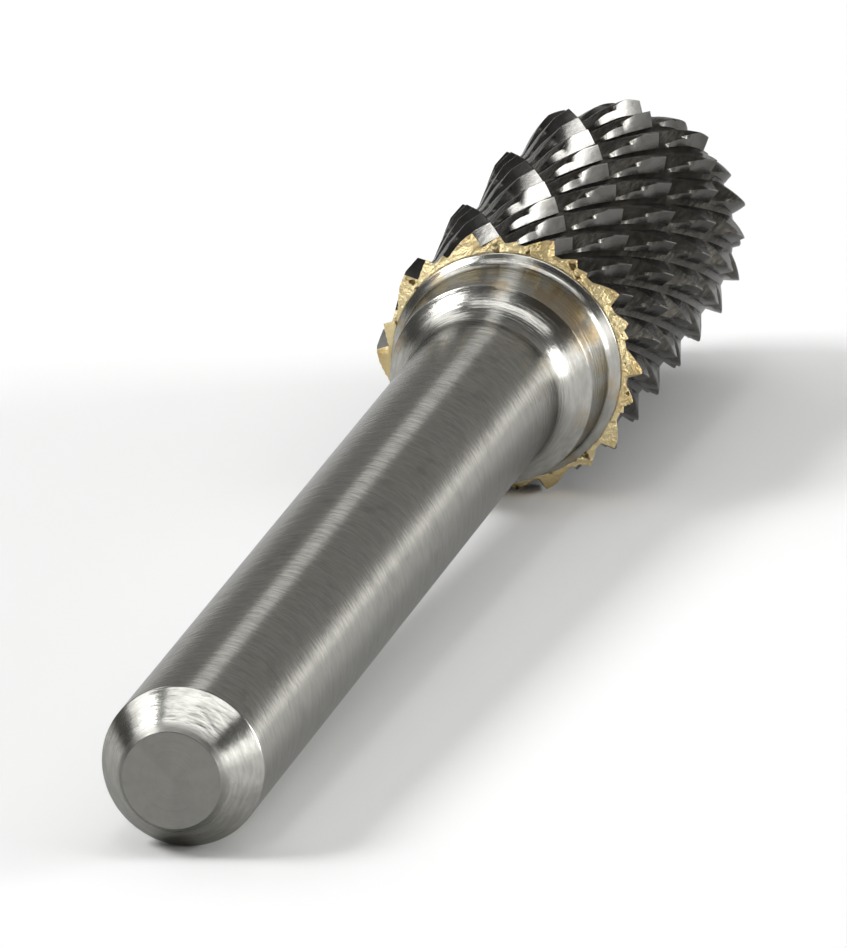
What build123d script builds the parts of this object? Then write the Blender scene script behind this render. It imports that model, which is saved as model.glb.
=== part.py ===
from build123d import *
import os
from math import acos, atan, cos, hypot, pi, radians, sin, tan

# A carbide burr for a die grinder: a ground steel shank whose flared collar carries, through a thin
# brazed joint, a cylinder of tungsten carbide with a ball nose. The head is ground with right-hand
# sawtooth flutes, and left-hand chip breakers cross them, through the edge of the joint as well.
# Each piece is modelled upright on the tool's own axis, with the driving end at the origin and the
# nose along +Z. The tool is then laid down the way it rests on a bench, with its nose towards +X.

# --- steel shank, with the collar that carries the head ------------------------------------------
shank_diameter = 6.35
shank_length = 56.6
end_chamfer_length = 1.85
end_chamfer_depth = 1.25
neck_fillet_radius = 2.35
neck_fillet_angle = 52.0
collar_length = 2.55
collar_rim_diameter = 9.58
collar_crown = 0.10

# --- brazed joint --------------------------------------------------------------------------------
joint_thickness = 0.6
joint_bevel_length = 0.5

# --- carbide head, its length taken from the steel rim to the nose -------------------------------
head_diameter = 11.11
head_length = 25.4
nose_flat_diameter = 1.6

# --- flutes: right-hand, with widths measured square to the flute --------------------------------
flute_count = 20
flute_helix_angle = 24.0
flute_depth = 0.55
flute_rake_width = 0.20
flute_floor_width = 0.36
tooth_land_width = 0.08
first_flute_angle = 17.0

# --- chip breakers: left-hand, with widths measured square to the groove -------------------------
breaker_count = 10
breaker_helix_angle = 23.2
breaker_depth = 0.50
breaker_wall_width = 0.22
breaker_floor_width = 0.20
breaker_ramp_width = 1.30
first_breaker_angle = -3.0
breaker_overrun = 0.9
breaker_clearance = 0.35

# --- spacing of the sections that the grinding paths are drawn through ---------------------------
flute_station_pitch = 1.25
breaker_station_pitch = 2.1
nose_flute_stations = 8
nose_breaker_stations = 5
nose_depth_power = 1 / 3

# --- the way the tool lies: which side is down, and how far a tooth gap lets the head sink -------
side_down_angle = 140.9
tooth_gap_sink = 0.105

shank_radius = shank_diameter / 2
rim_radius = collar_rim_diameter / 2
head_radius = head_diameter / 2
end_face_radius = shank_radius - end_chamfer_depth
nose_centre = shank_length + head_length - head_radius
nose_sweep = acos(nose_flat_diameter / head_diameter)


def shank():
    """Steel shank: chamfered end, plain cylinder, concave neck and crowned collar."""
    def on_fillet(angle):
        return (shank_radius + neck_fillet_radius * (1 - cos(radians(angle))),
                neck_station + neck_fillet_radius * sin(radians(angle)))

    crease_station = shank_length - collar_length
    neck_station = crease_station - neck_fillet_radius * sin(radians(neck_fillet_angle))
    neck = (shank_radius, neck_station)
    crease = on_fillet(neck_fillet_angle)
    rim = (rim_radius, shank_length)
    collar_rise = rim_radius - crease[0]
    crown = collar_crown / hypot(collar_rise, collar_length)
    collar_middle = (crease[0] + collar_rise / 2 + crown * collar_length,
                     crease_station + collar_length / 2 - crown * collar_rise)
    outline = Polyline((0, shank_length), (0, 0), (end_face_radius, 0),
                       (shank_radius, end_chamfer_length), neck)
    outline += ThreePointArc(neck, on_fillet(neck_fillet_angle / 2), crease)
    outline += ThreePointArc(crease, collar_middle, rim)
    outline += Line(rim, (0, shank_length))
    return revolve(Plane.XZ * make_face(outline), Axis.Z)


def ball_nose_stations(start, pitch, nose_steps):
    """Stations from start along the cylinder and over the ball, as (station, slope of surface)."""
    steps = max(2, round((nose_centre - start) / pitch))
    stations = [(start + (nose_centre - start) * i / steps, 0.0) for i in range(steps + 1)]
    for i in range(1, nose_steps + 1):
        slope = nose_sweep * i / nose_steps
        stations.append((nose_centre + head_radius * sin(slope), slope))
    return stations


def tooth_section(station, slope):
    """The head's cross-section at one station: a ring of sawteeth, turned along the flutes' lead.

    Over the ball the teeth keep their number and their angles, and grow shallower with the radius.
    """
    square = cos(radians(flute_helix_angle)) * head_radius
    pitch = 2 * pi / flute_count
    turn = radians(first_flute_angle) + flute_lead(station)
    radius = head_radius * cos(slope)
    floor = radius - flute_depth * cos(slope) ** nose_depth_power
    tooth = [(0, radius), (flute_rake_width / square, floor),
             ((flute_rake_width + flute_floor_width) / square, floor),
             (pitch - tooth_land_width / square, radius)]
    points = [Vector(r * cos(turn + pitch * i + angle), r * sin(turn + pitch * i + angle), station)
              for i in range(flute_count) for angle, r in tooth]
    return Face(Wire.make_polygon(points, close=True))


def flute_lead(station):
    """How far a flute has turned at a station, in radians from the collar's rim."""
    return tan(radians(flute_helix_angle)) * (station - shank_length) / head_radius


def chip_breaker():
    """One left-hand groove, as the solid that the grinding wheel takes away.

    The wheel's section stands square to its path: a steep wall, a narrow floor and a long ramp. It
    shrinks with the local radius over the ball.
    """
    lead = -tan(radians(breaker_helix_angle)) / head_radius
    back = shank_length - breaker_overrun
    sections = []
    for station, slope in ball_nose_stations(back, breaker_station_pitch, nose_breaker_stations):
        share = cos(slope)
        radius = head_radius * share
        turn = radians(first_breaker_angle) + lead * (station - shank_length)
        outward = Vector(cos(turn) * cos(slope), sin(turn) * cos(slope), sin(slope))
        forward = Vector(-cos(turn) * sin(slope), -sin(turn) * sin(slope), cos(slope))
        around = Vector(-sin(turn), cos(turn), 0)
        path = (forward + around * (lead * radius * cos(slope))).normalized()
        across = path.cross(outward)
        foot = Vector(radius * cos(turn), radius * sin(turn), station)
        proud = breaker_clearance / breaker_depth
        floor_end = breaker_wall_width + breaker_floor_width
        profile = [(-breaker_wall_width * proud, breaker_clearance),
                   (breaker_wall_width, -breaker_depth), (floor_end, -breaker_depth),
                   (floor_end + breaker_ramp_width * (1 + proud), breaker_clearance)]
        points = [foot + across * (x * share) + outward * (y * share) for x, y in profile]
        sections.append(Face(Wire.make_polygon(points, close=True)))
    return loft(sections)


def ground_body():
    """Joint and head in one, as they are ground together after brazing."""
    stations = ball_nose_stations(shank_length, flute_station_pitch, nose_flute_stations)
    body = loft([tooth_section(station, slope) for station, slope in stations])
    breaker = chip_breaker()
    spacing = 360 / breaker_count
    return body - [Rot(0, 0, spacing * i) * breaker for i in range(breaker_count)]


def joint_envelope():
    """The brazed disc before grinding, its free edge bevelled from the rim out to the head."""
    front = shank_length + joint_thickness
    reach = head_radius + breaker_clearance
    outline = Polyline((0, shank_length), (rim_radius, shank_length),
                       (head_radius, shank_length + joint_bevel_length),
                       (reach, shank_length + joint_bevel_length), (reach, front), (0, front),
                       close=True)
    return revolve(Plane.XZ * make_face(outline), Axis.Z)


def resting_place():
    """Where the tool's axis lies: nose along +X, on the shank's end and the head's back teeth."""
    head_back = shank_length + joint_bevel_length
    rise = head_radius - tooth_gap_sink - shank_radius
    tilt = atan(rise / (head_back - end_chamfer_length))
    turned = Rot(0, 90 - tilt * 180 / pi, 0) * Rot(0, 0, -side_down_angle)
    height = shank_radius * cos(tilt) - end_chamfer_length * sin(tilt)
    tail = -end_face_radius * sin(tilt)
    nose = (shank_length + head_length) * cos(tilt)
    return Pos(-(tail + nose) / 2, 0, height) * turned


ground = ground_body()
joint_front = Plane.XY.offset(shank_length + joint_thickness)
pieces = {
    "shank": shank(),
    "braze_joint": split(ground, bisect_by=joint_front, keep=Keep.BOTTOM) & joint_envelope(),
    "carbide_head": split(ground, bisect_by=joint_front, keep=Keep.TOP),
}
place = resting_place()
os.makedirs("parts", exist_ok=True)
for name, piece in pieces.items():
    export_step(place * piece, f"parts/{name}.step")
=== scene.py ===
"""The look of a carbide burr: ground steel shank, brazed joint and double-cut carbide head.

Every piece is a surface worked out in the tool's own polar coordinates: r is the distance from the
axis, phi the angle round it and s the station along it from the driving end, all in millimetres and
radians. lay_down() puts such points where the tool rests, nose towards +X, in metres.
"""

from math import acos, atan, cos, pi, radians, sin, tan

import bpy
import numpy as np
from bpy.props import FloatProperty, FloatVectorProperty, IntProperty, PointerProperty
from mathutils import Matrix, Vector


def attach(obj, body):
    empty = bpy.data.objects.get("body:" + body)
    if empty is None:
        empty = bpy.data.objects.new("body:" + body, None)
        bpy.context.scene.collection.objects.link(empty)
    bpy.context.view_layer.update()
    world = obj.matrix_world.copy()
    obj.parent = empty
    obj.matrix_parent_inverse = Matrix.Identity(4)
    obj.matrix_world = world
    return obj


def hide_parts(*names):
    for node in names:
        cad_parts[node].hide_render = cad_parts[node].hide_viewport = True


bl_info = {
    "name": "Carbide Burr",
    "version": (1, 0, 0),
    "blender": (4, 5, 0),
    "location": "3D View > Sidebar > Burr",
    "description": "Detailed shank, brazed joint and toothed head around a packed burr",
    "category": "Object",
}

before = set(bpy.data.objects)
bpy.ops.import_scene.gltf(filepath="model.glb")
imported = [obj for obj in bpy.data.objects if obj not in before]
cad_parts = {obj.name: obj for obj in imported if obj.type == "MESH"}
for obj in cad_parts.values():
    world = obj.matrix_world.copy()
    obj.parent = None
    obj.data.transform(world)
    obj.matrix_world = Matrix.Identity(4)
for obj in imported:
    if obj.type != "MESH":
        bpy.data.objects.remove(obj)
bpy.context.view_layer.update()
MM = 0.001
SEED = 11
UNEVENNESS = 0.03  # spread of the cuts' depths, as a share of the depth
CREASE = radians(30)  # edges sharper than this stay sharp on shank and braze
TOOTH_CREASE = radians(24)  # and on the head
NOSE_SPOT_SINK = 0.02  # of the nose's spot below the ball's pole, in mm
LAMP_DISTANCE = 0.75  # from the tool's middle, in metres
FLOOR_REACH = 1.6  # from the tool's middle to the floor's edges, in metres


# --- sizes and colours a user would change -------------------------------------------------------
def length_mm(name, default, description):
    return FloatProperty(name=name, default=default, min=0.0, description=description + ", in mm")


def angle(name, degrees, description):
    return FloatProperty(name=name, default=radians(degrees), subtype="ANGLE",
                         description=description)


def colour(name, default, description):
    return FloatVectorProperty(
        name=name, default=default, size=3, min=0.0, max=1.0, subtype="COLOR",
        description=description)


class BurrShankSettings(bpy.types.PropertyGroup):
    diameter: length_mm("Diameter", 6.35, "Diameter of the plain shank")
    length: length_mm("Length", 56.6, "Station of the collar's rim")
    chamfer_length: length_mm("Chamfer Length", 1.85, "Length of the driving end's chamfer")
    chamfer_depth: length_mm("Chamfer Depth", 1.25, "Radial depth of the driving end's chamfer")
    neck_angle: angle("Neck Angle", 57.0, "How far round its arc the neck runs before the collar")
    collar_length: length_mm("Collar Length", 2.8, "Length of the collar behind the joint")
    collar_rise: length_mm("Collar Rise", 0.61, "How far the collar rises from crease to rim")
    collar_taper: angle("Collar Taper", 4.0, "Slope of the collar beside the crease")
    collar_rim: length_mm("Collar Rim", 9.58, "Diameter of the collar's rim")
    flare_radius: length_mm("Flare Radius", 0.8, "Radius between the collar's taper and its flare")
    flare_angle: angle("Flare Angle", 50.0, "Slope of the collar beside the rim")
    edge_radius: length_mm(
        "Edge Radius", 0.06, "Rounding of the chamfer's inner edge, a quarter of its outer edge's")
    sides: IntProperty(name="Sides", default=288, min=32, description="Divisions round the shank")


class BurrHeadSettings(bpy.types.PropertyGroup):
    diameter: length_mm("Diameter", 11.11, "Diameter over the teeth")
    length: length_mm("Length", 25.4, "Length from the collar's rim to the nose")
    nose_flat: length_mm("Nose Flat", 1.6, "Diameter of the unground spot on the nose")
    flutes: IntProperty(name="Flutes", default=20, min=4, description="Right-hand flutes")
    flute_helix: angle("Flute Helix", 23.8, "Helix angle of the flutes")
    flute_depth: length_mm("Flute Depth", 0.62, "Depth of the flutes")
    rake_width: length_mm("Rake Width", 0.24, "Width of a tooth's steep face")
    floor_width: length_mm("Floor Width", 0.34, "Width of a flute's floor")
    land_width: length_mm("Land Width", 0.04, "Width of a tooth's tip")
    first_flute: angle("First Flute", 15.5, "Angle of the first tooth at the collar's rim")
    breakers: IntProperty(
        name="Chip Breakers", default=10, min=2, description="Left-hand chip breakers")
    breaker_helix: angle("Breaker Helix", 23.5, "Helix angle of the chip breakers")
    breaker_depth: length_mm("Breaker Depth", 0.58, "Depth of the chip breakers")
    breaker_wall: length_mm("Breaker Wall", 0.30, "Width of a breaker's steep wall")
    breaker_floor: length_mm("Breaker Floor", 0.18, "Width of a breaker's floor")
    breaker_ramp: length_mm("Breaker Ramp", 1.95, "Width of a breaker's long ramp")
    first_breaker: angle("First Breaker", -4.4, "Angle of the first breaker at the collar's rim")


class BurrJointSettings(bpy.types.PropertyGroup):
    thickness: length_mm("Thickness", 0.6, "Thickness of the brazed layer")
    bevel: length_mm("Bevel", 0.5, "Length of the braze's bevel out to the teeth")


class BurrRestSettings(bpy.types.PropertyGroup):
    side_down: angle("Side Down", 140.9, "Angle of the side that faces the bench")
    tooth_gap_sink: length_mm("Tooth Gap Sink", 0.105, "How far a tooth gap lets the head sink")


class BurrFinishSettings(bpy.types.PropertyGroup):
    steel: colour("Steel", (0.43, 0.426, 0.396), "Ground steel")
    # Darker steel for scratches and stains, also painted shade on the driving end's face
    steel_dark_and_end_shade: colour("Steel Dark And End Shade", (0.165, 0.163, 0.150), "Driving end's dull face")
    temper: colour("Temper Tint", (0.36, 0.27, 0.15), "Straw tint left by brazing heat")
    braze: colour("Braze", (0.76, 0.64, 0.37), "Silver braze with a brass tone")
    braze_brown: colour("Braze Brown", (0.42, 0.30, 0.12), "Braze browned by heat")
    braze_pit: colour("Braze Pit", (0.12, 0.08, 0.03), "Flux left in the braze's pits")
    carbide: colour("Carbide", (0.105, 0.100, 0.089), "Ground tungsten carbide")
    carbide_dark: colour("Carbide Shade", (0.055, 0.052, 0.045), "Carbide in the grinding lines")
    # Painted highlight along the teeth's tips
    carbide_edge_highlight: colour("Carbide Edge Highlight", (0.26, 0.256, 0.24), "Tips of the teeth, painted as a highlight")
    # Painted highlight: the steep faces' tone is lighter than the carbide; only their weaker bump is
    # polish
    carbide_rake_highlight: colour("Carbide Rake Highlight", (0.145, 0.143, 0.136), "Teeth's polished steep faces")


class BurrStageSettings(bpy.types.PropertyGroup):
    floor: colour("Floor", (0.90, 0.90, 0.90), "Floor")
    lens: FloatProperty(name="Lens", default=768.6, min=1.0, description="Focal length, in mm")
    bearing: angle("Bearing", 13.546, "How far the view turns from +X towards +Y")
    elevation: angle("Elevation", 14.066, "How far the view looks down")
    roll: angle("Roll", -1.407, "How far the picture turns clockwise about the view")
    distance: length_mm("Distance", 764.1, "Distance to the driving end along the view")
    aim_right: FloatProperty(
        name="Aim Right", default=-252.2, description="Driving end right of centre, in pixels")
    aim_down: FloatProperty(
        name="Aim Down", default=306.5, description="Driving end below centre, in pixels")


# --- the tool's coordinates ----------------------------------------------------------------------
def settings(name):
    return getattr(bpy.context.scene, name)


def rest_frame():
    """Where the tool's axis lies, as (start of the axis, its tilt), in mm and radians."""
    shank, head = settings("burr_shank"), settings("burr_head")
    rest, joint = settings("burr_rest"), settings("burr_joint")
    shank_radius = shank.diameter / 2
    rise = head.diameter / 2 - rest.tooth_gap_sink - shank_radius
    tilt = atan(rise / (shank.length + joint.bevel - shank.chamfer_length))
    tail = -(shank_radius - shank.chamfer_depth) * sin(tilt)
    nose = (shank.length + head.length) * cos(tilt)
    height = shank_radius * cos(tilt) - shank.chamfer_length * sin(tilt)
    return Vector((-(tail + nose) / 2, 0.0, height)), tilt


def tool_axes():
    """Unit vectors along the axis, towards the bench and to the side."""
    tilt = rest_frame()[1]
    return (Vector((cos(tilt), 0.0, sin(tilt))), Vector((sin(tilt), 0.0, -cos(tilt))),
            Vector((0.0, 1.0, 0.0)))


def lay_down(r, phi, s):
    """Points (r, phi, s) of the tool as it rests: start + s * axis + r * (cos * down + sin * side)."""
    start = np.array(rest_frame()[0])
    along, down, side = (np.array(v) for v in tool_axes())
    r, phi, s = np.broadcast_arrays(r, phi - settings("burr_rest").side_down, s)
    points = (start + s[..., None] * along + (r * np.cos(phi))[..., None] * down
              + (r * np.sin(phi))[..., None] * side)
    return points * MM


# --- meshes --------------------------------------------------------------------------------------
def skin(name, points, faces, sharp_angle):
    """A mesh object from points and faces, smooth except across edges sharper than sharp_angle."""
    mesh = bpy.data.meshes.new(name)
    mesh.from_pydata(np.asarray(points).reshape(-1, 3).tolist(), [], faces)
    mesh.polygons.foreach_set("use_smooth", np.ones(len(mesh.polygons), dtype=bool))
    mesh.set_sharp_from_angle(angle=sharp_angle)
    mesh.update()
    mesh.validate()
    piece = bpy.data.objects.new(name, mesh)
    bpy.context.scene.collection.objects.link(piece)
    return piece


def ring_faces(rings, sides):
    """Quads of a closed tube of rings x sides points, with the first and last ring fanned shut.

    The two fans' centres are the last two points of the mesh.
    """
    ring, side = np.meshgrid(np.arange(rings - 1), np.arange(sides), indexing="ij")
    after = (side + 1) % sides
    quads = np.stack([ring * sides + side, ring * sides + after, (ring + 1) * sides + after,
                      (ring + 1) * sides + side], axis=-1).reshape(-1, 4)
    edge = np.arange(sides)
    turn = (edge + 1) % sides
    first, last = rings * sides, rings * sides + 1
    start = np.stack([turn, edge, np.full(sides, first)], axis=-1)
    top = (rings - 1) * sides
    end = np.stack([top + edge, top + turn, np.full(sides, last)], axis=-1)
    return quads.tolist() + start.tolist() + end.tolist()


def revolved(name, profile, sides, sharp_angle):
    """A profile of (r, s) points, from axis to axis, turned about the tool's axis."""
    profile = np.asarray(profile)
    phi = np.linspace(0, 2 * pi, sides, endpoint=False)
    body = profile[1:-1]
    points = lay_down(body[:, :1], phi[None, :], body[:, 1:]).reshape(-1, 3)
    ends = lay_down(np.zeros(2), np.zeros(2), profile[[0, -1], 1])
    return skin(name, np.vstack([points, ends]), ring_faces(len(body), sides), sharp_angle)


def arc(centre, radius, start, end, count):
    """Points (r, s) on an arc round centre = (r, s), from angle start to end, in radians."""
    angle = np.linspace(start, end, count)
    return np.stack([centre[0] + radius * np.cos(angle), centre[1] + radius * np.sin(angle)], 1)


def rounded(before, corner, after, radius, count):
    """A corner of a profile, rounded to a radius: a bend from tangent to tangent."""
    before, corner, after = (np.asarray(p, float) for p in (before, corner, after))
    to_before, to_after = before - corner, after - corner
    to_before /= np.linalg.norm(to_before)
    to_after /= np.linalg.norm(to_after)
    half = np.arccos(np.clip(to_before @ to_after, -1, 1)) / 2
    reach = radius / np.tan(half)
    t = np.linspace(0, 1, count)[:, None]
    start, end = corner + to_before * reach, corner + to_after * reach
    return (1 - t) ** 2 * start + 2 * t * (1 - t) * corner + t ** 2 * end


# --- the shank -----------------------------------------------------------------------------------
def shank_profile():
    """Outline (r, s) of the shank: chamfered end, cylinder, concave neck, and a collar that is a
    slow taper from the crease, then an arc, then a steep flare out to the rim."""
    shank = settings("burr_shank")
    radius, rim = shank.diameter / 2, shank.collar_rim / 2
    end_radius = radius - shank.chamfer_depth
    inner_round, outer_round = shank.edge_radius, shank.edge_radius * 4
    crease_round, rim_round = 0.03, 0.04
    crease = (rim - shank.collar_rise, shank.length - shank.collar_length)
    fillet = (crease[0] - radius) / (1 - cos(shank.neck_angle))
    neck_s = crease[1] - fillet * sin(shank.neck_angle)
    neck = arc((radius + fillet, neck_s), -fillet, 0.0, -shank.neck_angle, 26)
    taper, flare, bend = shank.collar_taper, shank.flare_angle, shank.flare_radius
    run = shank.collar_length - bend * (sin(flare) - sin(taper))
    rise = shank.collar_rise - bend * (cos(taper) - cos(flare))
    taper_length = (run * sin(flare) - rise * cos(flare)) / sin(flare - taper)
    flare_start = (crease[0] + taper_length * sin(taper), crease[1] + taper_length * cos(taper))
    middle = (flare_start[0] + bend * cos(taper), flare_start[1] - bend * sin(taper))
    flare_arc = arc(middle, -bend, -taper, -flare, 12)
    outline = [(0.0, 0.0), *((end_radius * k, 0.0) for k in (0.25, 0.5, 0.75, 0.9))]
    outline += rounded(
        (0, 0), (end_radius, 0), (radius, shank.chamfer_length), inner_round, 6).tolist()
    outline += rounded(
        (end_radius, 0), (radius, shank.chamfer_length), (radius, neck_s), outer_round, 8).tolist()
    outline += [(radius, s) for s in np.linspace(shank.chamfer_length + 1.0, neck_s - 0.4, 24)]
    outline += neck[:-1].tolist()
    outline += rounded(neck[-2], crease, flare_start, crease_round, 4).tolist()
    outline += [(crease[0] + (flare_start[0] - crease[0]) * k,
                 crease[1] + (flare_start[1] - crease[1]) * k) for k in (0.3, 0.6, 0.85)]
    outline += flare_arc.tolist()
    outline += rounded(
        flare_arc[-1], (rim, shank.length), (0, shank.length), rim_round, 5).tolist()
    outline += [(rim * 0.5, shank.length), (0.0, shank.length)]
    return outline


# --- the ground surface of the head and joint ----------------------------------------------------
class Ground:
    """The double-cut surface. u follows the flutes and v the breakers, in radians:
    u = phi - flute_rate * t and v = phi + breaker_rate * t, with t the station from the rim."""

    def __init__(self):
        head, shank = settings("burr_head"), settings("burr_shank")
        self.head = head
        self.radius = head.diameter / 2
        self.rim_s = shank.length
        self.ball_s = shank.length + head.length - self.radius
        self.end_s = self.ball_s + self.radius * sin(acos(head.nose_flat / head.diameter))
        self.flute_rate = tan(head.flute_helix) / self.radius
        self.breaker_rate = tan(head.breaker_helix) / self.radius
        self.flute_pitch = 2 * pi / head.flutes
        self.breaker_pitch = 2 * pi / head.breakers
        self.flute_square = cos(head.flute_helix) * self.radius
        self.breaker_square = cos(head.breaker_helix) * self.radius
        rng = np.random.default_rng(SEED)
        self.flute_uneven = rng.normal(0, UNEVENNESS, head.flutes)
        self.breaker_uneven = rng.normal(0, UNEVENNESS, head.breakers)

    def slope(self, s):
        """Angle that the envelope's normal leans towards the nose."""
        return np.arcsin(np.clip((s - self.ball_s) / self.radius, 0, 1))

    def flute_cut(self, u):
        """Depth of the flutes, from 0 at a tooth's tip to 1 on a floor: wall, floor, long ramp."""
        head = self.head
        a = np.mod(u - head.first_flute, self.flute_pitch)
        stops = np.array([0, head.rake_width, head.rake_width + head.floor_width,
                          self.flute_pitch * self.flute_square - head.land_width,
                          self.flute_pitch * self.flute_square]) / self.flute_square
        return np.interp(a, stops, [0, 1, 1, 0, 0])

    def breaker_cut(self, v):
        """Depth of the breakers, from 0 to 1, with widths that shrink with the local radius."""
        head = self.head
        b = np.mod(v - head.first_breaker, self.breaker_pitch)
        stops = np.cumsum([0, head.breaker_wall, head.breaker_floor, head.breaker_ramp])
        return np.interp(b, stops / self.breaker_square, [0, 1, 1, 0])

    def depth(self, phi, s):
        """How deep the surface lies under the envelope, the deeper of the two cuts."""
        return np.maximum(*self.cuts(phi, s))

    def cuts(self, phi, s):
        """Depths of the flutes and of the breakers. Both fade over the ball, where the breakers
        follow the cosine of its slope and the flutes the cosine to the power 4/3."""
        head = self.head
        t = s - self.rim_s
        slope = self.slope(s)
        share = np.cos(slope)
        u = phi - self.flute_rate * t
        v = phi + self.breaker_rate * t
        tooth = np.floor((u - head.first_flute) / self.flute_pitch).astype(int) % head.flutes
        groove = np.floor((v - head.first_breaker) / self.breaker_pitch).astype(int)
        flute = (head.flute_depth * share ** (4 / 3) * self.flute_cut(u)
                 * (1 + self.flute_uneven[tooth]))
        breaker = (head.breaker_depth * share * self.breaker_cut(v)
                   * (1 + self.breaker_uneven[groove % head.breakers]))
        return flute, breaker

    def on_rake(self, phi, s):
        """True on the teeth's steep faces, where no breaker cuts deeper."""
        u = phi - self.flute_rate * (s - self.rim_s)
        across = np.mod(u - self.head.first_flute, self.flute_pitch) * self.flute_square
        flute, breaker = self.cuts(phi, s)
        return (across < self.head.rake_width) & (flute > breaker)

    def place(self, phi, s):
        """Points of the ground surface: the envelope less the depth along its normal."""
        slope = self.slope(s)
        depth = self.depth(phi, s)
        r = (self.radius - depth) * np.cos(slope)
        station = np.where(s > self.ball_s, self.ball_s + (self.radius - depth) * np.sin(slope), s)
        return lay_down(r, phi, station)

    def lattice(self, start_s, end_s, u_stops, v_stops):
        """Grid lines along every tooth and every breaker, so that both cuts have crisp edges.

        A line of constant u meets one of constant v at t = (v - u) / (flute_rate +
        breaker_rate). Meetings beyond either end are drawn back along u onto that end.
        Returns phi and s of the points, the triangles, and the two end rings.
        """
        head = self.head
        turn = self.flute_rate + self.breaker_rate
        u = (head.first_flute + (np.arange(head.flutes)[:, None] * self.flute_pitch
                                 + u_stops[None, :])).ravel()
        per_turn = head.breakers * len(v_stops)
        low, high = turn * (start_s - self.rim_s), turn * (end_s - self.rim_s)
        turns = int(np.ceil((high - low) / (2 * pi))) + 3
        k = np.arange(-per_turn, turns * per_turn)
        v = (head.first_breaker + (k // len(v_stops)) * self.breaker_pitch
             + v_stops[k % len(v_stops)])
        w = v[None, :] - u[:, None]
        inside = (w > low) & (w < high)
        first = inside.argmax(axis=1)
        last = inside.shape[1] - inside[:, ::-1].argmax(axis=1)
        column = np.arange(len(u))[:, None]
        index = np.clip(np.arange(len(v))[None, :], first[:, None] - 1, last[:, None])
        w_kept = np.clip(w[column, index], low, high)
        s = self.rim_s + w_kept / turn
        phi = u[:, None] + self.flute_rate * (s - self.rim_s)
        ident = column * len(v) + index
        shifted = np.full(len(v), ident[0, 0])
        shifted[per_turn:] = ident[0, :-per_turn]
        ident = np.vstack([ident, shifted])
        a, b = ident[:-1, :-1], ident[1:, :-1]
        c, d = ident[1:, 1:], ident[:-1, 1:]
        triangles = np.concatenate([np.stack([a, b, c], -1).reshape(-1, 3),
                                    np.stack([a, c, d], -1).reshape(-1, 3)])
        distinct = ((triangles[:, 0] != triangles[:, 1]) & (triangles[:, 1] != triangles[:, 2])
                    & (triangles[:, 0] != triangles[:, 2]))
        triangles = triangles[distinct]
        used, triangles = np.unique(triangles, return_inverse=True)
        triangles = triangles.reshape(-1, 3)
        start_ring = np.searchsorted(used, (column[:, 0] * len(v) + first - 1))
        end_ring = np.searchsorted(used, (column[:, 0] * len(v) + last))
        return phi.ravel()[used], s.ravel()[used], triangles, start_ring, end_ring


def tooth_stops(ground):
    """Angles across one tooth where the lattice runs: both sides of each edge, and the ramp."""
    head = ground.head
    wall, floor = head.rake_width, head.rake_width + head.floor_width
    pitch = ground.flute_pitch * ground.flute_square
    ramp = np.linspace(floor, pitch - head.land_width, 8)[1:]
    return np.array([0, wall * 0.5, wall, (wall + floor) / 2, floor, *ramp]) / ground.flute_square


def breaker_stops(ground):
    """Angles across one breaker and the land beside it where the lattice runs."""
    head = ground.head
    edges = np.cumsum([0, head.breaker_wall, head.breaker_floor, head.breaker_ramp])
    pitch = ground.breaker_pitch * ground.breaker_square
    ramp = np.linspace(edges[2], edges[3], 9)[1:]
    land = np.linspace(edges[3], pitch, 10)[1:-1]
    stops = [0, edges[1] / 2, edges[1], (edges[1] + edges[2]) / 2, edges[2], *ramp, *land]
    return np.array(stops) / ground.breaker_square


def head_mesh():
    """The carbide head: its ground surface, closed by a flat back and the spot on the nose."""
    ground = Ground()
    back_s = ground.rim_s + settings("burr_joint").thickness
    phi, s, triangles, back, nose = ground.lattice(
        back_s, ground.end_s, tooth_stops(ground), breaker_stops(ground))
    points = ground.place(phi, s)
    spot_s = ground.ball_s + ground.radius - NOSE_SPOT_SINK
    centres = lay_down(np.zeros(2), np.zeros(2), np.array([back_s, spot_s]))
    count = len(points)
    back_fan = np.stack([np.roll(back, -1), back, np.full(len(back), count)], -1)
    nose_fan = np.stack([nose, np.roll(nose, -1), np.full(len(nose), count + 1)], -1)
    faces = np.concatenate([triangles, back_fan, nose_fan]).tolist()
    piece = skin("carbide_teeth", np.vstack([points, centres]), faces, TOOTH_CREASE)
    rake = np.zeros(len(piece.data.polygons))
    rake[:len(triangles)] = ground.on_rake(phi[triangles].mean(1), s[triangles].mean(1))
    piece.data.attributes.new("rake", "FLOAT", "FACE").data.foreach_set("value", rake)
    return piece


def joint_mesh():
    """The brazed layer: the ground surface or, where that is farther out, a bevel from the
    collar's rim to the tips of the teeth."""
    ground, joint = Ground(), settings("burr_joint")
    rim = settings("burr_shank").collar_rim / 2
    sides = 720
    phi = np.linspace(0, 2 * pi, sides, endpoint=False)[None, :]
    rows = np.array([0, 6, 14, 22, 30, 38, 46, 53, 60]) / 60
    s = (ground.rim_s + joint.thickness * rows[:, None]) * np.ones_like(phi)
    bevel = rim + (ground.radius - rim) * np.clip((s - ground.rim_s) / joint.bevel, 0, 1)
    r = np.minimum(ground.radius - ground.depth(phi, s), bevel)
    points = lay_down(r, phi, s).reshape(-1, 3)
    ends = lay_down(np.zeros(2), np.zeros(2), s[[0, -1], 0])
    return skin("braze_layer", np.vstack([points, ends]), ring_faces(len(s), sides), CREASE)


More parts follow.
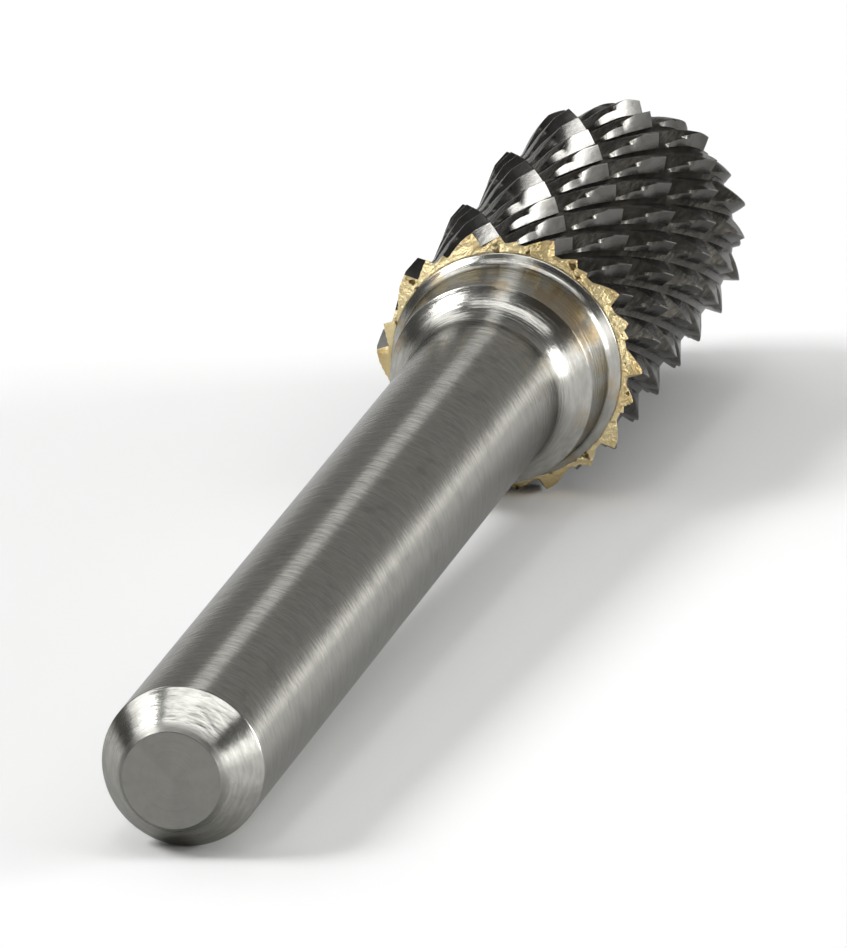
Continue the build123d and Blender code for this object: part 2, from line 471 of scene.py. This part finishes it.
# --- materials -----------------------------------------------------------------------------------
class Channel:
    """A number that a node gives out. Sums and products of channels add their Math nodes."""

    def __init__(self, tree, socket):
        self.tree, self.socket = tree, socket

    def math(self, operation, *others):
        node = self.tree.node(
            "ShaderNodeMath", {"operation": operation}, dict(enumerate((self, *others))))
        return Channel(self.tree, node.outputs[0])

    def _reflected(self, operation, other):
        node = self.tree.node("ShaderNodeMath", {"operation": operation}, {0: other, 1: self})
        return Channel(self.tree, node.outputs[0])

    def __add__(self, other):
        return self.math("ADD", other)

    def __sub__(self, other):
        return self.math("SUBTRACT", other)

    def __mul__(self, other):
        return self.math("MULTIPLY", other)

    def __radd__(self, other):
        return self._reflected("ADD", other)

    def __rsub__(self, other):
        return self._reflected("SUBTRACT", other)

    def __rmul__(self, other):
        return self._reflected("MULTIPLY", other)

    def step(self, low, high):
        """0 below low and 1 above high, smooth between them; reversed where high is the lower."""
        values = {0: self, 1: low, 2: high, 3: 0.0, 4: 1.0}
        if high < low:
            values = {0: self, 1: high, 2: low, 3: 1.0, 4: 0.0}
        node = self.tree.node(
            "ShaderNodeMapRange", {"interpolation_type": "SMOOTHSTEP", "clamp": True}, values)
        return Channel(self.tree, node.outputs[0])


class NodeTree:
    """The nodes of one material or world while they are being laid out."""

    def __init__(self, owner):
        owner.use_nodes = True
        self.nodes, self.links = owner.node_tree.nodes, owner.node_tree.links
        self.nodes.clear()

    def node(self, kind, options=None, values=None):
        """A node of a kind, its options set first and then its sockets' values or links."""
        made = self.nodes.new(kind)
        for name, option in (options or {}).items():
            setattr(made, name, option)
        for name, value in (values or {}).items():
            socket = made.inputs[name]
            if isinstance(value, Channel):
                self.links.new(value.socket, socket)
            elif isinstance(value, bpy.types.NodeSocket):
                self.links.new(value, socket)
            else:
                socket.default_value = value
        return made

    def vector(self, operation, first, second=None, output=0):
        values = {0: first} if second is None else {0: first, 1: second}
        return self.node("ShaderNodeVectorMath", {"operation": operation}, values).outputs[output]

    def noise(self, vector, scale, detail, roughness):
        """Noise from 0 to 1 over a vector."""
        made = self.node("ShaderNodeTexNoise", {}, {
            "Vector": vector, "Scale": scale, "Detail": detail, "Roughness": roughness})
        return Channel(self, made.outputs["Fac"])

    def mix(self, factor, first, second):
        """One colour laid over another."""
        made = self.node("ShaderNodeMix", {"data_type": "RGBA"}, {
            "Factor": factor, 6: opaque(first), 7: opaque(second)})
        return made.outputs[2]

    def bump(self, height, distance):
        """A normal tilted by a height that is scaled by a distance in mm."""
        values = {"Height": height, "Distance": distance * MM, "Strength": 1.0}
        return self.node("ShaderNodeBump", {}, values).outputs[0]


def opaque(tone):
    """A colour as four numbers, and a socket as it is."""
    return tone if isinstance(tone, bpy.types.NodeSocket) else (*tone, 1.0)


class Metal(NodeTree):
    """A metal finish laid out in the tool's own coordinates, in mm."""

    def __init__(self, name):
        self.material = bpy.data.materials.new(name)
        super().__init__(self.material)
        start = rest_frame()[0]
        along, down, side = tool_axes()
        place = self.node("ShaderNodeTexCoord").outputs["Object"]
        place = self.vector("SCALE", place)
        place.node.inputs["Scale"].default_value = 1 / MM
        place = self.vector("SUBTRACT", place, tuple(start))
        self.s = Channel(self, self.vector("DOT_PRODUCT", place, tuple(along), 1))
        self.x = Channel(self, self.vector("DOT_PRODUCT", place, tuple(down), 1))
        self.y = Channel(self, self.vector("DOT_PRODUCT", place, tuple(side), 1))
        self.r = (self.x * self.x + self.y * self.y).math("SQRT")

    def stretched(self, x, y, s):
        """The place with its three directions scaled, for noise that is drawn out."""
        made = self.node("ShaderNodeCombineXYZ", {}, {0: self.x * x, 1: self.y * y, 2: self.s * s})
        return made.outputs[0]

    def attribute(self, name):
        """A number that the mesh carries on its faces."""
        return Channel(self, self.node(
            "ShaderNodeAttribute", {"attribute_name": name}).outputs["Fac"])

    def finish(self, base, roughness, normal, edge_tint=1.0):
        """The metal's shader, with a tint for what it reflects at a glancing angle."""
        shader = self.node("ShaderNodeBsdfPrincipled", {}, {
            "Base Color": base, "Metallic": 1.0, "Roughness": roughness, "Normal": normal,
            "Specular Tint": (edge_tint, edge_tint, edge_tint, 1.0)})
        self.node("ShaderNodeOutputMaterial", {}, {"Surface": shader.outputs[0]})
        return self.material


def steel_finish():
    """Ground steel: fine scratches round the shank, turning marks on collar and end, a straw tint
    where brazing heated it, and painted shade on the driving end's face."""
    tones, shank = settings("burr_finish"), settings("burr_shank")
    metal = Metal("ground_steel")
    neck_run = 2.0
    neck_s = shank.length - shank.collar_length - neck_run
    lay = metal.noise(metal.stretched(1.1, 1.1, 3.6), 1.0, 2.0, 0.6)
    scratches = metal.noise(metal.stretched(1.6, 1.6, 9.0), 1.0, 2.0, 0.6)
    blotch = metal.noise(metal.stretched(0.5, 0.5, 0.25), 1.0, 3.0, 0.6)
    stains = metal.noise(metal.stretched(0.8, 0.8, 0.5), 1.0, 4.0, 0.65).step(0.54, 0.70)
    rings = metal.noise(metal.stretched(0.05, 0.05, 7.0), 1.0, 3.0, 0.6)
    # The driving end's face: turning marks, more roughness and painted shade
    turned_and_shaded_end = metal.s.step(0.5, 0.1)
    across = metal.node("ShaderNodeCombineXYZ", {}, {0: metal.r * 9.0, 1: metal.s})
    face_rings = metal.noise(across.outputs[0], 1.0, 3.0, 0.6)
    collar = metal.s.step(neck_s, neck_s + 0.8)
    tint = blotch.step(0.50, 0.62) * metal.s.step(neck_s + 1.4, neck_s + 2.2)
    base = metal.mix((lay * 0.5 + scratches * 0.5).step(0.35, 0.65) * 0.35, tones.steel,
                     tones.steel_dark_and_end_shade)
    base = metal.mix(tint * 0.6, base, tones.temper)
    base = metal.mix(stains * 0.25, base, tones.steel_dark_and_end_shade)
    # Painted shade: the driving end's face darkened with the darker steel tone
    base = metal.mix(turned_and_shaded_end * 0.8, base, tones.steel_dark_and_end_shade)
    height = lay * 1.6 + scratches * 0.5 + rings * collar * 2.5 + face_rings * turned_and_shaded_end * 2.0
    normal = metal.bump(height, 0.009)
    roughness = 0.18 + lay * 0.08 + turned_and_shaded_end * 0.15
    return metal.finish(base, roughness, normal, 0.5)


def braze_finish():
    """Brass-toned braze: lumpy, browned in patches and towards the teeth, with flux in its pits."""
    tones = settings("burr_finish")
    metal = Metal("brass_braze")
    even = metal.stretched(1, 1, 1)
    lumps = metal.noise(even, 2.4, 4.0, 0.6)
    patches = metal.noise(even, 0.45, 2.0, 0.5)
    pits = metal.noise(even, 1.5, 2.0, 0.5).step(0.62, 0.70)
    browned = patches.step(0.42, 0.62) * 0.5 + (metal.r + lumps * 0.4).step(5.15, 5.6) * 0.35
    base = metal.mix(browned, tones.braze, tones.braze_brown)
    base = metal.mix(pits, base, tones.braze_pit)
    normal = metal.bump(lumps - pits * 0.6, 0.20)
    return metal.finish(base, 0.34 + lumps * 0.2, normal)


def carbide_finish():
    """Ground carbide: fine grinding lines over a dark sintered metal, polished steep faces with a
    painted highlight on their tone, and a painted highlight along the teeth's tips."""
    tones = settings("burr_finish")
    metal = Metal("ground_carbide")
    ground = Ground()
    lines = metal.noise(metal.stretched(5.0, 5.0, 0.8), 1.0, 4.0, 0.65)
    cloud = metal.noise(metal.stretched(1.2, 1.2, 1.2), 1.0, 3.0, 0.6)
    past = (metal.s - ground.ball_s).math("MAXIMUM", 0.0)
    depth = ground.radius - (metal.r * metal.r + past * past).math("SQRT")
    # Painted highlight: the surface within about 0.03 to 0.075 mm of the envelope, the teeth's tips,
    # painted bright
    edge = (depth + cloud * 0.05).step(0.075, 0.03)
    rake = metal.attribute("rake")
    base = metal.mix(lines.step(0.35, 0.65), tones.carbide_dark, tones.carbide)
    base = metal.mix(edge, base, tones.carbide_edge_highlight)
    # Painted highlight: the steep faces painted lighter, in clouds
    base = metal.mix(rake * (0.6 + 0.4 * cloud.step(0.4, 0.6)), base, tones.carbide_rake_highlight)
    normal = metal.bump(lines * (1 - 0.8 * rake), 0.03)
    return metal.finish(base, 0.17 + cloud * 0.14, normal, 0.45)


def add_piece(piece, material, node):
    """Puts a piece in its CAD node's place, on the body, with its finish."""
    piece.data.materials.append(material)
    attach(piece, "root")
    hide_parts(node)


# --- the stage -----------------------------------------------------------------------------------
def floor_plane():
    """A flat sheet under the tool."""
    near, far = -FLOOR_REACH, FLOOR_REACH
    mesh = bpy.data.meshes.new("floor")
    mesh.from_pydata([(near, near, 0), (far, near, 0), (far, far, 0), (near, far, 0)], [],
                     [(0, 1, 2, 3)])
    sheet = bpy.data.objects.new("floor", mesh)
    bpy.context.scene.collection.objects.link(sheet)
    material = bpy.data.materials.new("pale_floor")
    tree = NodeTree(material)
    shader = tree.node("ShaderNodeBsdfPrincipled", {}, {
        "Base Color": opaque(settings("burr_stage").floor), "Roughness": 0.9,
        "Specular IOR Level": 0.0})
    tree.node("ShaderNodeOutputMaterial", {}, {"Surface": shader.outputs[0]})
    mesh.materials.append(material)


def studio_world():
    """Soft surroundings: dim, lighter past the nose, with a pale horizon that is brightest on
    the -Y side."""
    world = bpy.data.worlds.new("studio")
    bpy.context.scene.world = world
    tree = NodeTree(world)
    direction = tree.node("ShaderNodeTexCoord").outputs["Generated"]
    parts = tree.node("ShaderNodeSeparateXYZ", {}, {0: direction}).outputs
    side, up = Channel(tree, parts[1]), Channel(tree, parts[2])
    dim, past_nose, pale, brightest = 0.06, 0.33, 0.80, 1.00
    horizon = up.math("ABSOLUTE").step(0.15, 0.05)
    level = (dim + Channel(tree, parts[0]).step(0.3, 0.8) * past_nose
             + horizon * (pale + side.step(-0.15, -0.35) * brightest))
    background = tree.node("ShaderNodeBackground", {}, {
        "Color": (1.0, 0.985, 0.96, 1.0), "Strength": level})
    tree.node("ShaderNodeOutputWorld", {}, {"Surface": background.outputs[0]})


def softbox(name, bearing, elevation, wide, high, radiance):
    """An area lamp that faces the tool from a bearing off +X and an elevation, in degrees, and
    fills wide x high degrees of its surroundings. Its power is 4 x area x radiance."""
    lamp = bpy.data.lights.new(name, "AREA")
    lamp.shape = "RECTANGLE"
    lamp.size = 2 * LAMP_DISTANCE * tan(radians(wide / 2))
    lamp.size_y = 2 * LAMP_DISTANCE * tan(radians(high / 2))
    lamp.energy = 4 * lamp.size * lamp.size_y * radiance
    holder = bpy.data.objects.new(name, lamp)
    bpy.context.scene.collection.objects.link(holder)
    turn, rise = radians(bearing), radians(elevation)
    towards = Vector((cos(rise) * cos(turn), cos(rise) * sin(turn), sin(rise)))
    across = Vector((-sin(turn), cos(turn), 0.0))
    above = towards.cross(across)
    place = towards * LAMP_DISTANCE
    holder.matrix_world = Matrix((
        (across.x, above.x, towards.x, place.x), (across.y, above.y, towards.y, place.y),
        (across.z, above.z, towards.z, place.z), (0, 0, 0, 1)))


def look_from():
    """The camera: its axes from the bearing and elevation, and its place from where the driving
    end falls in the picture."""
    stage = settings("burr_stage")
    bearing, elevation = stage.bearing, stage.elevation
    forward = Vector((cos(elevation) * cos(bearing), cos(elevation) * sin(bearing),
                      -sin(elevation)))
    level = Vector((sin(bearing), -cos(bearing), 0))
    right = level * cos(stage.roll) + level.cross(forward) * sin(stage.roll)
    up = right.cross(forward)
    picture_height, film = 948, 36.0
    focal = stage.lens * picture_height / film
    place = (rest_frame()[0] - right * (stage.aim_right * stage.distance / focal)
             + up * (stage.aim_down * stage.distance / focal) - forward * stage.distance)
    data = bpy.data.cameras.new("camera")
    data.lens, data.sensor_width, data.sensor_fit = stage.lens, film, "AUTO"
    data.clip_start, data.clip_end = 0.01, 20.0
    camera = bpy.data.objects.new("camera", data)
    bpy.context.scene.collection.objects.link(camera)
    camera.matrix_world = Matrix((
        (right.x, up.x, -forward.x, place.x * MM), (right.y, up.y, -forward.y, place.y * MM),
        (right.z, up.z, -forward.z, place.z * MM), (0, 0, 0, 1)))
    bpy.context.scene.camera = camera


# --- operators -----------------------------------------------------------------------------------
class BURR_OT_shank(bpy.types.Operator):
    """Make the ground steel shank"""
    bl_idname = "burr.shank"
    bl_label = "Shank"

    def execute(self, context):
        shank = context.scene.burr_shank
        piece = revolved("steel_shank", shank_profile(), shank.sides, CREASE)
        add_piece(piece, steel_finish(), "shank")
        return {"FINISHED"}


class BURR_OT_joint(bpy.types.Operator):
    """Make the brazed layer between collar and head"""
    bl_idname = "burr.joint"
    bl_label = "Brazed Joint"

    def execute(self, context):
        add_piece(joint_mesh(), braze_finish(), "braze_joint")
        return {"FINISHED"}


class BURR_OT_head(bpy.types.Operator):
    """Make the toothed carbide head"""
    bl_idname = "burr.head"
    bl_label = "Carbide Head"

    def execute(self, context):
        add_piece(head_mesh(), carbide_finish(), "carbide_head")
        return {"FINISHED"}


class BURR_OT_stage(bpy.types.Operator):
    """Make the floor, lamps, surroundings and camera"""
    bl_idname = "burr.stage"
    bl_label = "Stage"

    def execute(self, context):
        context.scene.view_settings.view_transform = "Standard"
        floor_plane()
        studio_world()
        softbox("key_box", 104, 46, 24, 18, 10.5)
        softbox("left_box", 58, 38, 44, 22, 1.6)
        softbox("overhead_strip", -92, 78, 15, 74, 2.2)
        softbox("rear_strip", 178, 66, 10, 30, 1.6)
        softbox("right_strip", -83, 13, 92, 13, 1.8)
        softbox("rake_box", -66, 14, 24, 20, 8.0)
        softbox("far_column", 6, 50, 9, 58, 0.9)
        look_from()
        return {"FINISHED"}


class BURR_PT_panel(bpy.types.Panel):
    """Lists the burr's pieces and the stage"""
    bl_idname = "BURR_PT_panel"
    bl_label = "Carbide Burr"
    bl_space_type = "VIEW_3D"
    bl_region_type = "UI"
    bl_category = "Burr"

    def draw(self, context):
        for operator in OPERATORS:
            self.layout.operator(operator.bl_idname)


SETTINGS = {
    "burr_shank": BurrShankSettings,
    "burr_head": BurrHeadSettings,
    "burr_joint": BurrJointSettings,
    "burr_rest": BurrRestSettings,
    "burr_finish": BurrFinishSettings,
    "burr_stage": BurrStageSettings,
}
OPERATORS = (BURR_OT_shank, BURR_OT_joint, BURR_OT_head, BURR_OT_stage)


def register():
    for group in SETTINGS.values():
        bpy.utils.register_class(group)
    for name, group in SETTINGS.items():
        setattr(bpy.types.Scene, name, PointerProperty(type=group))
    for operator in (*OPERATORS, BURR_PT_panel):
        bpy.utils.register_class(operator)


def unregister():
    for operator in reversed((*OPERATORS, BURR_PT_panel)):
        bpy.utils.unregister_class(operator)
    for name in SETTINGS:
        delattr(bpy.types.Scene, name)
    for group in reversed(list(SETTINGS.values())):
        bpy.utils.unregister_class(group)


def main():
    register()
    bpy.ops.burr.shank()
    bpy.ops.burr.joint()
    bpy.ops.burr.head()
    bpy.ops.burr.stage()


if __name__ == "__main__":
    main()
